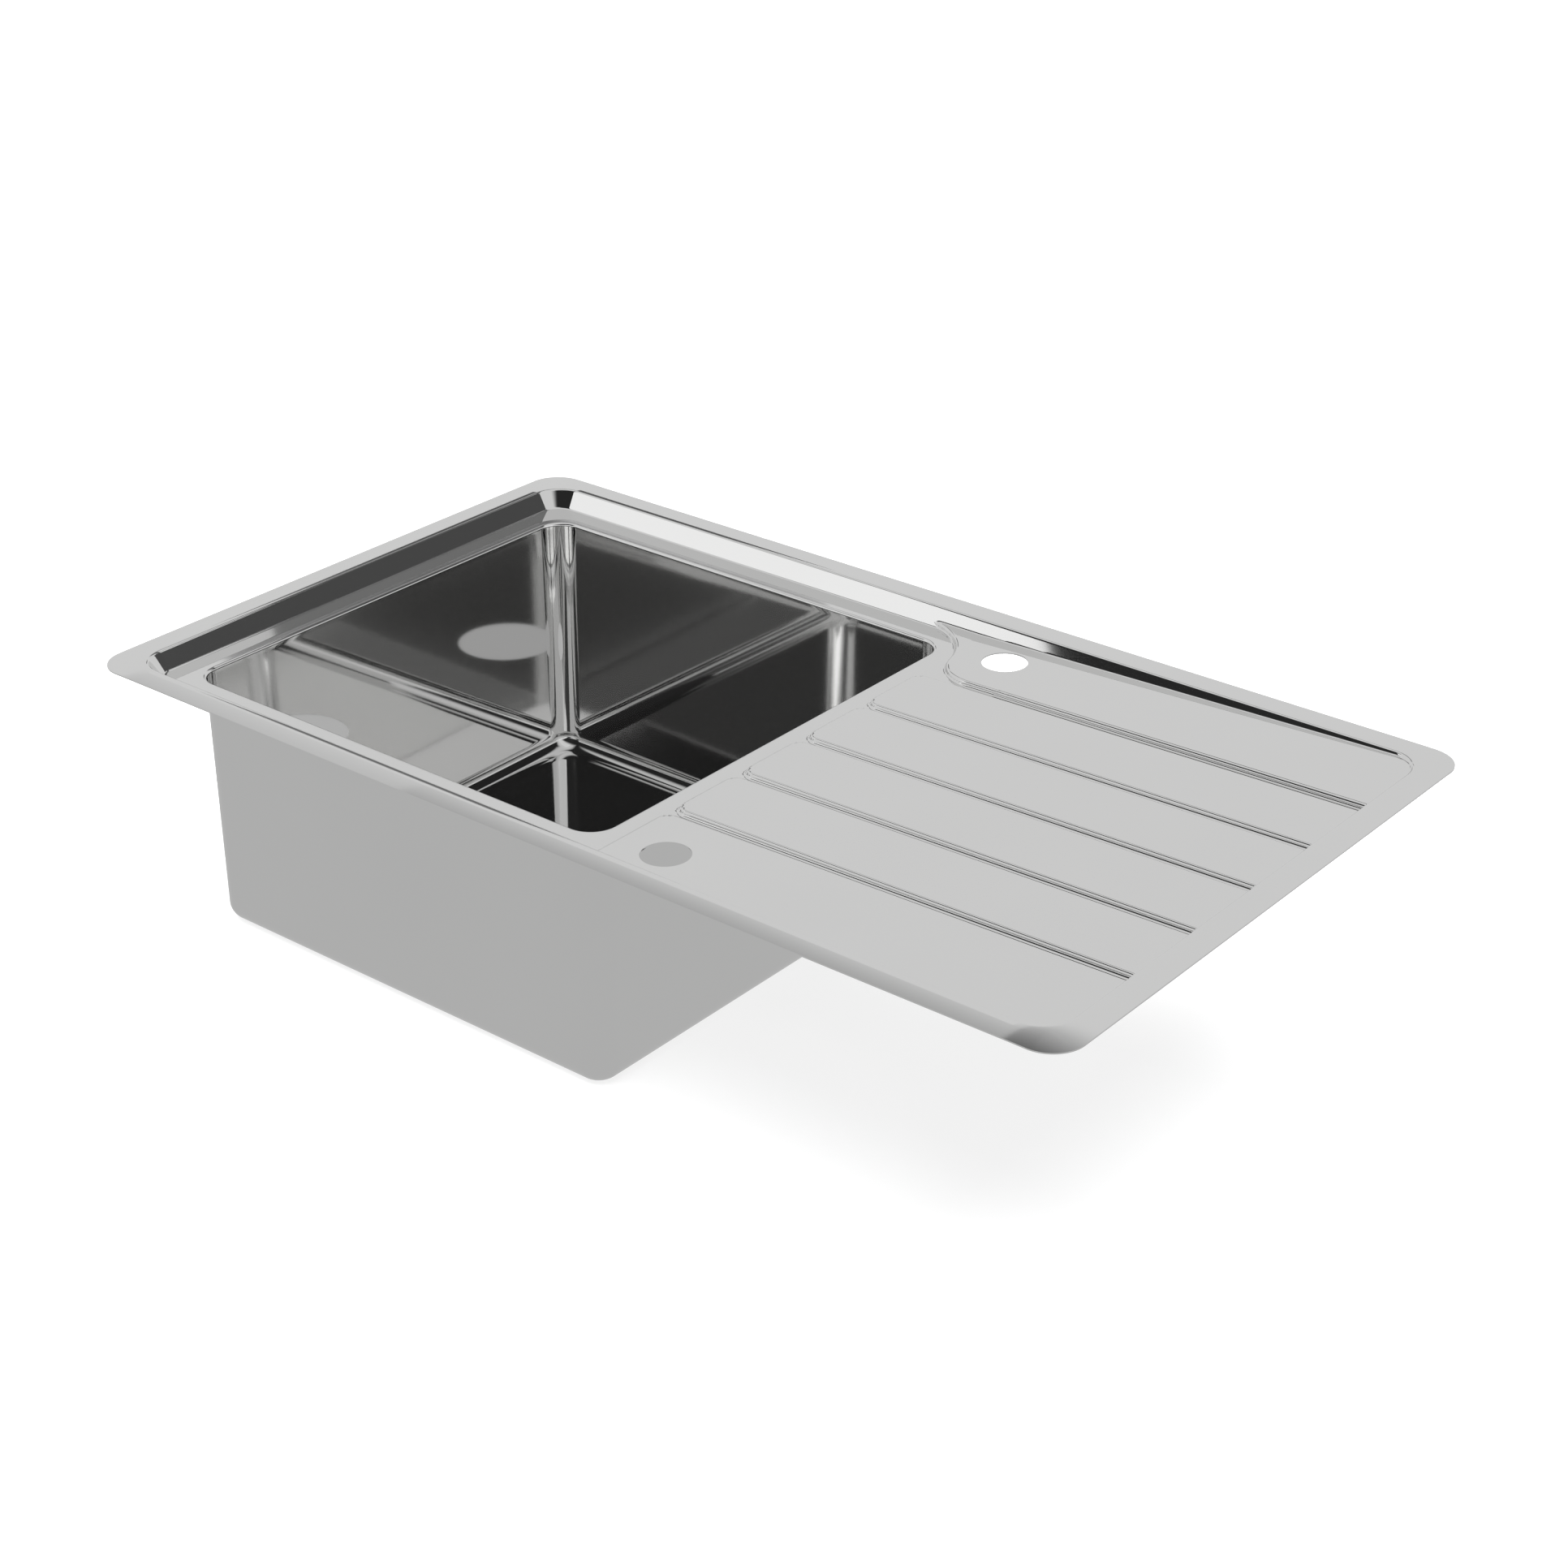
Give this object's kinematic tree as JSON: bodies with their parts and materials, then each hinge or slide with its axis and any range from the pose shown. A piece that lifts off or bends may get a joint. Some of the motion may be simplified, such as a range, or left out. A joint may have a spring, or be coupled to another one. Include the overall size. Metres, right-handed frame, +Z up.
{
  "type": "kitchen sink with drainboard",
  "caption": "Inset steel kitchen sink: deep square bowl, sloping grooved drainboard with tap holes, and swing-out fixing clips under the rim.",
  "frame": {"origin": "centre of the whole sink's bounding box, at the base of the bowl", "axes": "+Z up, square to the rim; +X along the long edge from the bowl to the drainboard; +Y from the front edge to the back edge"},
  "size_m": [0.86, 0.5, 0.22],
  "materials": {
    "sink_steel": "polished",
    "clip_steel": "zinc plated",
    "screw_steel": "zinc plated",
    "foam": "closed-cell foam",
    "damping_pad": "matt bitumen"
  },
  "bodies": {
    "sink": {"deck": "sink_steel", "bowl": "sink_steel", "rim_seal": "foam", "pad_left": "damping_pad", "pad_back": "damping_pad", "pad_drainboard": "damping_pad", "clip_bracket_1": "clip_steel", "clip_bracket_2": "clip_steel", "clip_bracket_3": "clip_steel", "clip_bracket_4": "clip_steel", "clip_bracket_5": "clip_steel", "clip_bracket_6": "clip_steel", "clip_bracket_7": "clip_steel", "clip_bracket_8": "clip_steel"},
    "washer_1": {"clip_washer_1": "screw_steel"},
    "screw_1": {"clip_screw_1": "screw_steel"},
    "claw_1": {"clip_claw_1": "clip_steel"},
    "washer_2": {"clip_washer_2": "screw_steel"},
    "screw_2": {"clip_screw_2": "screw_steel"},
    "claw_2": {"clip_claw_2": "clip_steel"},
    "washer_3": {"clip_washer_3": "screw_steel"},
    "screw_3": {"clip_screw_3": "screw_steel"},
    "claw_3": {"clip_claw_3": "clip_steel"},
    "washer_4": {"clip_washer_4": "screw_steel"},
    "screw_4": {"clip_screw_4": "screw_steel"},
    "claw_4": {"clip_claw_4": "clip_steel"},
    "washer_5": {"clip_washer_5": "screw_steel"},
    "screw_5": {"clip_screw_5": "screw_steel"},
    "claw_5": {"clip_claw_5": "clip_steel"},
    "washer_6": {"clip_washer_6": "screw_steel"},
    "screw_6": {"clip_screw_6": "screw_steel"},
    "claw_6": {"clip_claw_6": "clip_steel"},
    "washer_7": {"clip_washer_7": "screw_steel"},
    "screw_7": {"clip_screw_7": "screw_steel"},
    "claw_7": {"clip_claw_7": "clip_steel"},
    "washer_8": {"clip_washer_8": "screw_steel"},
    "screw_8": {"clip_screw_8": "screw_steel"},
    "claw_8": {"clip_claw_8": "clip_steel"}
  },
  "joints": [
    {"name": "claw_lower_1", "type": "slide", "parent": "sink", "child": "washer_1", "axis": [0, 0, -1], "range_m": [0, 0.006]},
    {"name": "screw_turn_1", "type": "hinge", "parent": "washer_1", "child": "screw_1", "pos_m": [-0.3139, -0.2085, 0.194], "axis": [0, 0, -1], "range_deg": [0, 2700]},
    {"name": "claw_swing_1", "type": "hinge", "parent": "washer_1", "child": "claw_1", "pos_m": [-0.3139, -0.2085, 0.194], "axis": [0, 0, -1], "range_deg": [0, 90]},
    {"name": "claw_lower_2", "type": "slide", "parent": "sink", "child": "washer_2", "axis": [0, 0, -1], "range_m": [0, 0.006]},
    {"name": "screw_turn_2", "type": "hinge", "parent": "washer_2", "child": "screw_2", "pos_m": [-0.0559, -0.2085, 0.194], "axis": [0, 0, -1], "range_deg": [0, 2700]},
    {"name": "claw_swing_2", "type": "hinge", "parent": "washer_2", "child": "claw_2", "pos_m": [-0.0559, -0.2085, 0.194], "axis": [0, 0, -1], "range_deg": [0, 90]},
    {"name": "claw_lower_3", "type": "slide", "parent": "sink", "child": "washer_3", "axis": [0, 0, -1], "range_m": [0, 0.006]},
    {"name": "screw_turn_3", "type": "hinge", "parent": "washer_3", "child": "screw_3", "pos_m": [0.2924, -0.2085, 0.194], "axis": [0, 0, -1], "range_deg": [0, 2700]},
    {"name": "claw_swing_3", "type": "hinge", "parent": "washer_3", "child": "claw_3", "pos_m": [0.2924, -0.2085, 0.194], "axis": [0, 0, -1], "range_deg": [0, 90]},
    {"name": "claw_lower_4", "type": "slide", "parent": "sink", "child": "washer_4", "axis": [0, 0, -1], "range_m": [0, 0.006]},
    {"name": "screw_turn_4", "type": "hinge", "parent": "washer_4", "child": "screw_4", "pos_m": [-0.3139, 0.2085, 0.194], "axis": [0, 0, -1], "range_deg": [0, 2700]},
    {"name": "claw_swing_4", "type": "hinge", "parent": "washer_4", "child": "claw_4", "pos_m": [-0.3139, 0.2085, 0.194], "axis": [0, 0, -1], "range_deg": [0, 90]},
    {"name": "claw_lower_5", "type": "slide", "parent": "sink", "child": "washer_5", "axis": [0, 0, -1], "range_m": [0, 0.006]},
    {"name": "screw_turn_5", "type": "hinge", "parent": "washer_5", "child": "screw_5", "pos_m": [-0.0559, 0.2085, 0.194], "axis": [0, 0, -1], "range_deg": [0, 2700]},
    {"name": "claw_swing_5", "type": "hinge", "parent": "washer_5", "child": "claw_5", "pos_m": [-0.0559, 0.2085, 0.194], "axis": [0, 0, -1], "range_deg": [0, 90]},
    {"name": "claw_lower_6", "type": "slide", "parent": "sink", "child": "washer_6", "axis": [0, 0, -1], "range_m": [0, 0.006]},
    {"name": "screw_turn_6", "type": "hinge", "parent": "washer_6", "child": "screw_6", "pos_m": [0.2924, 0.2085, 0.194], "axis": [0, 0, -1], "range_deg": [0, 2700]},
    {"name": "claw_swing_6", "type": "hinge", "parent": "washer_6", "child": "claw_6", "pos_m": [0.2924, 0.2085, 0.194], "axis": [0, 0, -1], "range_deg": [0, 90]},
    {"name": "claw_lower_7", "type": "slide", "parent": "sink", "child": "washer_7", "axis": [0, 0, -1], "range_m": [0, 0.006]},
    {"name": "screw_turn_7", "type": "hinge", "parent": "washer_7", "child": "screw_7", "pos_m": [-0.3885, 0, 0.194], "axis": [0, 0, -1], "range_deg": [0, 2700]},
    {"name": "claw_swing_7", "type": "hinge", "parent": "washer_7", "child": "claw_7", "pos_m": [-0.3885, 0, 0.194], "axis": [0, 0, -1], "range_deg": [0, 90]},
    {"name": "claw_lower_8", "type": "slide", "parent": "sink", "child": "washer_8", "axis": [0, 0, -1], "range_m": [0, 0.006]},
    {"name": "screw_turn_8", "type": "hinge", "parent": "washer_8", "child": "screw_8", "pos_m": [0.3885, 0.0355, 0.194], "axis": [0, 0, -1], "range_deg": [0, 2700]},
    {"name": "claw_swing_8", "type": "hinge", "parent": "washer_8", "child": "claw_8", "pos_m": [0.3885, 0.0355, 0.194], "axis": [0, 0, -1], "range_deg": [0, 90]}
  ],
  "couplings": [
    {"joint": "screw_turn_1", "follows": "claw_lower_1", "rad_per_m": 7854},
    {"joint": "screw_turn_2", "follows": "claw_lower_2", "rad_per_m": 7854},
    {"joint": "screw_turn_3", "follows": "claw_lower_3", "rad_per_m": 7854},
    {"joint": "screw_turn_4", "follows": "claw_lower_4", "rad_per_m": 7854},
    {"joint": "screw_turn_5", "follows": "claw_lower_5", "rad_per_m": 7854},
    {"joint": "screw_turn_6", "follows": "claw_lower_6", "rad_per_m": 7854},
    {"joint": "screw_turn_7", "follows": "claw_lower_7", "rad_per_m": 7854},
    {"joint": "screw_turn_8", "follows": "claw_lower_8", "rad_per_m": 7854}
  ]
}
